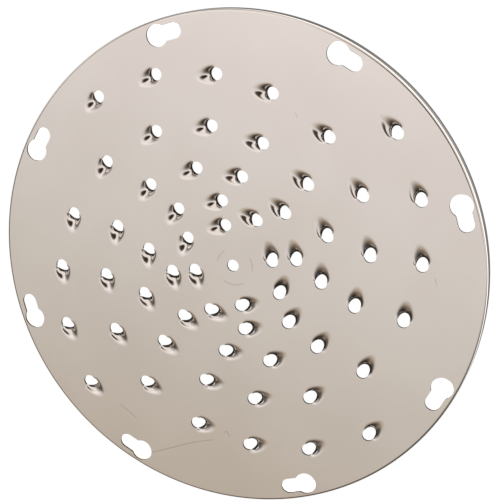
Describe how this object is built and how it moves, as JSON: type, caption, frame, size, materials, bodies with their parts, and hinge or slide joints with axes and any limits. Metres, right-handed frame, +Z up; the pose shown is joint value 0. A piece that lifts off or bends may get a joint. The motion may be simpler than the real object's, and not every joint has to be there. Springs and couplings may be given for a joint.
{
  "type": "food processor shredding disc",
  "caption": "Round pressed sheet-steel shredding disc with a turned-down rim, keyhole slots round the edge and rings of scooped teeth that shred food pressed against it.",
  "frame": {"origin": "on the disc's axis, in the plane of the rim's edge that it lies on", "axes": "+Z up along the disc's axis, out of the smooth face; +X through the seat of one keyhole"},
  "size_m": [0.2258, 0.2258, 0.0063],
  "materials": {
    "stainless": "satin, lightly scratched"
  },
  "bodies": {
    "root": {"shredder_disc": "stainless"}
  },
  "joints": []
}
